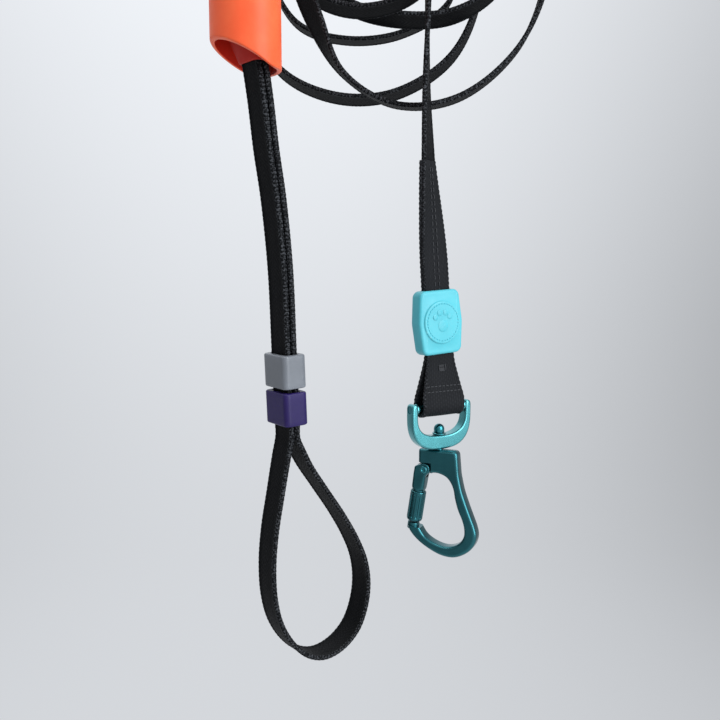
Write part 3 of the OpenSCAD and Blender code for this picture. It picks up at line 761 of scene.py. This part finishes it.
def grip():
    """A round-edged rubber tube, level on top and cut to a slope below, round a funnel-ended core."""
    n, wall = 192, 2.4
    outer, inner = superellipse(15.4, 19.2, 2, n), superellipse(15.4 - wall, 19.2 - wall, 2, n)
    middle, out = (outer + inner) / 2, unit(outer - inner)
    half = wall / 2

    def level(ring, z):
        return np.column_stack([ring[:, 0] + GRIP_X, ring[:, 1], np.broadcast_to(z, (len(ring),))])

    def mouth(ring, above=0.0):
        """The sloping end, softened into the level one below it."""
        slope = MOUTH_Z - MOUTH_FALL * (ring[:, 0] * math.cos(MOUTH_WAY) + ring[:, 1] * math.sin(MOUTH_WAY))
        over = (slope - GRIP_BOTTOM) / 0.7
        return GRIP_BOTTOM + 0.7 * np.logaddexp(over, 0) + above

    top = GRIP_TOP - half
    rows = [level(middle + out * half * math.cos(a), top + half * math.sin(a))
            for a in np.linspace(math.pi, 0, 9)]
    for t in (0.03, 0.1, 0.25, 0.4, 0.55, 0.7, 0.85, 0.95, 1.0):
        rows.append(level(outer, (1 - t) * top + t * mouth(outer, 1.6)))
    for a in np.linspace(0, -math.pi, 15):
        sweep = np.sign(math.cos(a)) * abs(math.cos(a)) ** 0.6
        rows.append(level(middle + out * half * sweep,
                          mouth(middle + out * half * sweep, 0.75 + 0.75 * math.sin(a))))
    for t in (0.05, 0.3, 0.6, 1.0):
        rows.append(level(inner, (1 - t) * mouth(inner, 1.6) + t * -120))
    for t in (0.3, 0.6, 0.97):
        rows.append(level(inner, -120 + t * (120 + top)))
    sleeve = piece("grip_rubber_sleeve", [lofted(rows, ring_of_rings=True)], ORANGE, "webbing", HANDLE,
                   stands_for=("grip_sleeve",))
    # Faces inside the tube, turned towards the grip's axis, get the darker copy of the rubber as painted
    # shade.
    sleeve.data.materials.append(ORANGE_PAINTED_SHADE)
    within = np.array(unit(np.array(HANDLE)[:3, :3]) @ np.array([GRIP_X, 0, 0])) + np.array(HANDLE)[:3, 3]
    for face in sleeve.data.polygons:
        to_axis = Vector(within[:2]) - Vector(face.center[:2]) / MM
        if face.normal.xy.dot(to_axis) > 0.6 * to_axis.length:
            face.material_index = 1

    # The core narrows to a slot round the webbing, like a funnel
    shell, slot, lip = inner * 0.998, superellipse(3.55, 7.9, 7, n), superellipse(4.4, 8.8, 6, n)

    def moved(ring, x, z):
        return level(ring + np.array([x, 0]), z)

    rows = [level(shell, -61.0), level(shell, -62.0), level(shell, -100.0), level(shell, -146.0)]
    for t in np.linspace(0.06, 1, 16):
        ring = (1 - t) * shell + t * (lip + np.array([4.5, 0]))
        rows.append(level(ring, -150 - 19.0 * t ** 1.25))
    rows += [moved(superellipse(4.1, 8.5, 6, n), 4.7, -169.5), moved(slot, 4.7, -169.6),
             moved(slot, 4.4, -168.4), moved(slot, 2.4, -158), moved(slot, 1.1, -150), moved(slot, 0, -138),
             moved(slot, 0, -62), moved(slot, 0, -61)]
    # The core wears the darkened red, which is partly painted shade for the inside of the grip.
    piece("grip_inner_core", [lofted(rows, ring_of_rings=True)], RED_CORE_PAINTED_SHADE, "webbing", HANDLE,
          stands_for=("grip_core",))


grip()


# ---- stoppers ----

def polar(loop, columns):
    """A star-shaped outline sampled at even angles."""
    loop = np.asarray(loop, float)
    angle = np.arctan2(loop[:, 1], loop[:, 0])
    order = np.argsort(angle)
    t = np.linspace(-math.pi, math.pi, columns, endpoint=False)
    r = np.interp(t, angle[order], np.linalg.norm(loop, axis=1)[order], period=2 * math.pi)
    return np.stack([r * np.cos(t), r * np.sin(t)], 1)


def rounded_rectangle(a, b, r, columns):
    """Half sides a and b with corners of radius r."""
    t = np.radians(np.arange(0, 360, 0.5))
    corner = np.stack([np.sign(np.cos(t)) * (a - r), np.sign(np.sin(t)) * (b - r)], 1)
    loop = corner + r * np.stack([np.cos(t), np.sin(t)], 1)
    return polar(evened(loop, 0.05), columns)


def stopper(name, z, material, body, node):
    """A rubber block with a slot through it for both layers of the webbing."""
    n, h, edge = 160, 16.6, 0.9
    x = DOUBLED[7][0] + (DOUBLED[7][1] - z) * math.tan(math.radians(STOPPER_LEAN))
    place = HANDLE @ shift(x, 0, z) @ turn("Y", -STOPPER_LEAN)
    rows = []

    def ring(a, b, r, height):
        rows.append(np.column_stack([rounded_rectangle(a, b, r, n), np.full(n, height)]))

    for side in (-1, 1):
        start = len(rows)
        ring(3.5, 7.8, 0.6, side * (h / 2 - 1.2))
        ring(3.55, 7.85, 0.7, side * (h / 2 - 0.5))
        ring(3.75, 8.05, 0.9, side * (h / 2 - 0.1))
        ring(4.0, 8.3, 1.1, side * h / 2)
        for a in np.linspace(math.pi / 2, 0, 6):
            d = edge * (1 - math.cos(a))
            ring(6.5 - d, 10.4 - d, 2.7 - d * 0.6, side * (h / 2 - edge * (1 - math.sin(a))))
        ring(6.5, 10.4, 2.7, side * (h / 2 - 3))
        if side > 0:
            rows[start:] = rows[start:][::-1]
    piece(name, [lofted(rows, ring_of_rings=True)], material, body, place, stands_for=(node,))


stopper("grey_rubber_stopper", -314.3, GREY, "grey_slider", "grey_stopper")
stopper("purple_rubber_stopper", -332.8, PURPLE, "purple_slider", "purple_stopper")


# ---- strap keeper ----

KEEPER = STRAP @ shift(0, 0, 16.8)

def keeper():
    """A rounded block that slides on the webbing, with a dished, stitched disc and a paw on its front."""
    n = 288
    t = np.linspace(0, 2 * math.pi, n, endpoint=False)
    way = np.stack([np.cos(t), np.sin(t)], 1)
    circles = [(0, 0, 13)] + [(x, z, 3.6) for x in (-8.2, 8.2) for z in (-12.4, 12.4)]
    reach = np.array([way @ np.array([x, z]) + r for x, z, r in circles])
    pick = np.argmax(reach, 0)
    centre, radius = np.array(circles)[pick, :2], np.array(circles)[pick, 2]

    def outline(d):
        return centre + way * (radius - d)[:, None]

    rows, edge, front = [], 1.5, -4.2

    def ring(loop, y):
        rows.append(np.column_stack([loop[:, 0], np.broadcast_to(y, (n,)), loop[:, 1]]))

    ring(outline(edge + 0.4), -front)
    for a in np.linspace(0, math.pi / 2, 6):
        ring(outline(edge * (1 - math.sin(a))), -front - edge * (1 - math.cos(a)))
    for a in np.linspace(math.pi / 2, 0, 6):
        ring(outline(edge * (1 - math.sin(a))), front + edge * (1 - math.cos(a)))
    ring(outline(edge + 0.3), front)
    dash = ((t * 36 / (2 * math.pi)) % 1 < 0.62) * 0.30
    for r, y in ((10.95, front), (10.75, front - 0.1), (10.6, front - 0.35), (10.55, front - 0.6),
                 (10.35, front - 0.82), (10.0, front - 0.9)):
        ring(way * r, y)
    for r, deep in ((9.55, 0), (9.42, 1), (8.95, 1), (8.82, 0)):
        ring(way * r, front - 0.9 + dash * deep)
    for r in (8.4, 7, 5.5, 4, 2.5, 1.2, 0.3):
        ring(way * r, front - 0.9 - 0.22 * (1 - (r / 8.6) ** 2))
    parts = [lofted(rows)]
    for r, x, z in [(3.1, 0, -1.7)] + [(1.55, 5.1 * math.sin(a), 5.1 * math.cos(a))
                                       for a in np.radians((-57, -20, 20, 57))]:
        pad = []
        for share, lift in ((1, 0.4), (1, -0.05), (0.96, -0.2), (0.84, -0.33), (0.6, -0.42), (0.3, -0.46),
                            (0.05, -0.47)):
            c, s = np.cos(t[::6]), np.sin(t[::6])
            pad.append(np.column_stack([x + r * share * c, np.full(48, front - 1.0 + lift),
                                        z + r * share * s]))
        parts.append(lofted(pad))
    body = piece("silicone_keeper", parts[:1], CYAN, "keeper_slider", KEEPER,
                 stands_for=("keeper",))
    carve(body, (box_part((-7.8, -2.5, -25), (7.8, 2.5, 25)), KEEPER))
    piece("keeper_paw_pads", parts[1:], CYAN, "keeper_slider", KEEPER)


keeper()


# ---- swivel: bow, bar, pin and washer ----

def low_arc(a, b, z):
    """The lower half of a squarish oval."""
    turns = [(math.cos(t), math.sin(t)) for t in np.radians(np.arange(180, 361, 3))]
    return [(a * math.copysign(abs(c) ** 0.72, c), z - b * abs(s) ** 0.72) for c, s in turns]


def swivel():
    """The bow with its bar, and the hook's pin and washer, which turn in the bow."""
    outer, inner, round_z = 18, 14.6, 18.5
    half_thick, pin_bore, bar_r, bar_half = 3, 2.15, 2.0, 17.7
    along_bar = BOW @ shift(0, 0, BAR_Z) @ turn("Y", 90)
    tip = [(outer, 23.4), (16.9, 24.6), (15.0, 24.6), (inner, 24.2)]
    loop = low_arc(outer, 18, round_z) + tip
    loop += low_arc(inner, 10.9, round_z)[::-1] + [(-x, z) for x, z in tip[::-1]]
    bow = piece("swivel_bow_casting", [slab(evened(loop, 0.5, 3), -half_thick, half_thick, 0.9)], PALE_TEAL,
                "bow", BOW, stands_for=("swivel_bow",))
    lips = [([turned(soft_corners([(0, -0.7), (2.8, -0.7), (2.8, 0.6), (0, 0.6)], 0.4), 48)],
             BOW @ shift(s * 14.2, 0, BAR_Z) @ turn("Y", 90 * -s)) for s in (-1, 1)]
    join(bow, *lips)
    carve(bow, (rod_part(pin_bore, -2, 10), BOW), (rod_part(bar_r, -20, 20), along_bar))

    bar = soft_corners([(0, -bar_half), (bar_r, -bar_half), (bar_r, bar_half), (0, bar_half)], 0.35)
    piece("webbing_bar_pin", [turned(bar, 48)], PIN_METAL, "bow", along_bar,
          stands_for=("webbing_bar",), sharp=40)

    dome = [(2.7 * math.cos(a), 10.6 + 2.7 * math.sin(a)) for a in np.radians(np.arange(0, 88, 7))]
    pin = [(0, -5), (2.1, -5), (2.1, 8.8), (2.45, 8.8), (2.7, 9.05)] + dome + [(0, 13.3)]
    piece("swivel_pin_head", [turned(pin, 64)], PIN_METAL, "hook", HOOK,
          stands_for=("swivel_pin",), sharp=50)
    washer = [(2.12, 7.8), (3.1, 7.8), (3.4, 8.0), (3.4, 8.55), (3.1, 8.8), (2.12, 8.8)]
    t = np.linspace(0, 2 * math.pi, 64, endpoint=False)
    rings = [[(r * math.cos(a), r * math.sin(a), z) for a in t] for r, z in washer]
    piece("swivel_flange_washer", [lofted(rings, ring_of_rings=True)], PIN_METAL, "hook", HOOK,
          stands_for=("swivel_washer",), sharp=50)


swivel()


# ---- hook: body, gate, rivet and lock sleeve ----

HOOK_BACK = [(11.8, -12.2), (13.6, -20), (16.1, -27), (18.5, -33), (20.6, -38.3), (21.5, -42.4),
             (20.9, -46.2), (18.6, -50.1), (14.6, -53.4), (9.4, -55.5), (3, -55.3), (-4.4, -52.5),
             (-10.7, -48.5), (-14.6, -44.3), (-16.4, -40.2)]
HOOK_INSIDE = [(-9.2, -41.9), (-6.1, -46.1), (-0.2, -49.3), (5.7, -50.2), (11.4, -48.2), (14.6, -44.1),
               (14.9, -40), (13.8, -35.5), (11.4, -30.1), (9.8, -24.7), (8.5, -18.6), (5.4, -14),
               (0.7, -12.2), (-2.7, -12.2)]
ROD_X = -2
STUB_TOP = -29.7
SHOULDER = -31.4
TONGUE = (-0.1, 1.3)


def curved(points):
    """A smooth line through points in local x and z."""
    rows, _ = through([(x, 0, z) for x, z in points], 0.4)
    return [tuple(p) for p in rows[:, [0, 2]]]


def hook():
    """The hook's casting, with a notch, an eye and a stub for the gate."""
    # The nose is made too long, and cut square to the gate's rod below
    loop = [(-10, -0.6), (-9.4, 0), (9.6, 0), (10.8, -1.2)] + curved(HOOK_BACK)
    loop += ([(-16.8, -38.6), (-16, -37.2), (-14.6, -36.4), (-12, -36.3), (-10.3, -37.1)]
             + curved(HOOK_INSIDE) + [(-3.6, -13.4), (-10, -11), (-10, -7)])
    body = piece("hook_casting", [slab(evened(loop[::-1], 0.4, 3), -3.6, 3.6, 1.7, 6)], TEAL, "hook", HOOK,
                 stands_for=("hook_body",))
    front, back = TONGUE
    carve(body,
          (box_part((-23, back, -27), (-2.9, 20, -7.1)), HOOK),
          (box_part((-23, -20, -27), (-2.9, front, -7.1)), HOOK),
          (rod_part(6, SHOULDER, -21), GATE @ shift(ROD_X, 0, 0)))
    stub = soft_corners([(0, SHOULDER - 2), (3.1, SHOULDER - 2), (3.1, STUB_TOP), (0, STUB_TOP)], 0.5)
    eye = [(0, front), (3.2, front), (3.2, back), (0, back)]
    join(body, ([turned(stub, 48)], GATE @ shift(ROD_X, 0, 0)), ([turned(eye, 48, "Y")], GATE))
    rivet_bore, pin_r = 1.2, 2.1
    carve(body, (rod_part(rivet_bore, -9, 9, "Y"), GATE), (rod_part(pin_r, -5.2, 5), HOOK))


hook()


def gate():
    """A forked block that becomes the lock sleeve's rod, and the rivet that it turns on."""
    n = 96
    # height, middle, half width, half depth, squareness
    shape = [(3.25, 0, 0.5, 3.0, 3), (3.1, 0, 1.3, 3.35, 4), (2.6, -0.05, 2.1, 3.55, 5),
             (1.9, -0.25, 2.95, 3.6, 6), (1.1, -0.7, 3.75, 3.6, 7), (0.3, -1.0, 4.3, 3.6, 7),
             (-0.7, -1.1, 4.28, 3.6, 7), (-2.0, -1.55, 3.85, 3.6, 7), (-3.3, -1.95, 3.45, 3.6, 7),
             (-5, ROD_X, 3.4, 3.6, 6), (-8, ROD_X, 3.4, 3.6, 5), (-10.4, ROD_X, 3.4, 3.55, 4),
             (-11.2, ROD_X, 3.38, 3.45, 3), (-11.7, ROD_X, 3.3, 3.3, 2), (-12.2, ROD_X, 3.3, 3.3, 2),
             (-20, ROD_X, 3.3, 3.3, 2), (-28.2, ROD_X, 3.3, 3.3, 2), (-28.75, ROD_X, 2.95, 2.95, 2),
             (-29, ROD_X, 2.5, 2.5, 2)]
    smooth, _ = through([(x, a, z, b, p) for z, x, a, b, p in shape], 0.35)
    rings = []
    for x, a, z, b, p in smooth:
        outline = superellipse(a, b, p, n)
        rings.append(np.column_stack([outline[:, 0] + x, outline[:, 1], np.full(n, z)]))
    lever = piece("gate_casting", [lofted(rings[::-1])], TEAL, "gate", GATE,
                  stands_for=("gate_lever",))
    carve(lever, (box_part((-20, -1.6, -4.4), (20, 1.6, 15)), GATE), (rod_part(1.25, -9, 9, "Y"), GATE))

    half = [(0, 4.0), (0.75, 4.0), (0.85, 4.12), (1.0, 4.28), (1.45, 4.32), (1.85, 4.15), (1.95, 3.95),
            (1.9, 3.76), (1.2, 3.76)]
    profile = [(r, -y) for r, y in half] + half[::-1]
    piece("gate_rivet_pin", [turned(profile, 64, "Y")], PIN_METAL, "hook", GATE,
          stands_for=("gate_rivet",), sharp=45)


gate()


def lock_sleeve():
    """A fluted tube on the gate's rod, which slides down over the nose's stub."""
    n, flutes, top, h = 240, 12, -12.6, 16
    t = np.linspace(0, 2 * math.pi, n, endpoint=False)
    cut = np.clip((np.cos(flutes * t) + 0.1) / 0.6, 0, 1)
    cut = cut * cut * (3 - 2 * cut)

    def ring(r, z, depth=0.0):
        r = r - cut * depth
        return np.column_stack([r * np.cos(t), r * np.sin(t), np.full(n, z)])

    low, outer = top - h, 4.1
    rows = [ring(3.35, low + 0.3), ring(3.5, low), ring(3.62, low), ring(3.85, low + 0.25),
            ring(4.02, low + 0.6), ring(outer, low + 1.0), ring(outer, low + 1.5),
            ring(outer, low + 1.8, 0.26), ring(outer, low + 2.3, 0.4), ring(outer, low + 7, 0.4),
            ring(outer, top - 2.3, 0.4), ring(outer, top - 1.8, 0.26), ring(outer, top - 1.5),
            ring(outer, top - 0.6), ring(4.0, top - 0.2), ring(3.8, top), ring(3.5, top),
            ring(3.35, top - 0.3), ring(3.35, top - 7)]
    piece("fluted_lock_sleeve", [lofted(rows, ring_of_rings=True)], TEAL, "sleeve", GATE @ shift(ROD_X, 0, 0),
          stands_for=("lock_sleeve",), sharp=50)


lock_sleeve()


# ---- CAD pieces that show as they are ----

for node, material, slot_name in (("gate_spring", STEEL, "spring_steel"),
                                  ("tail_seam_thread", THREAD, "thread")):
    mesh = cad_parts[node].data
    mesh.materials.clear()
    mesh.materials.append(material)
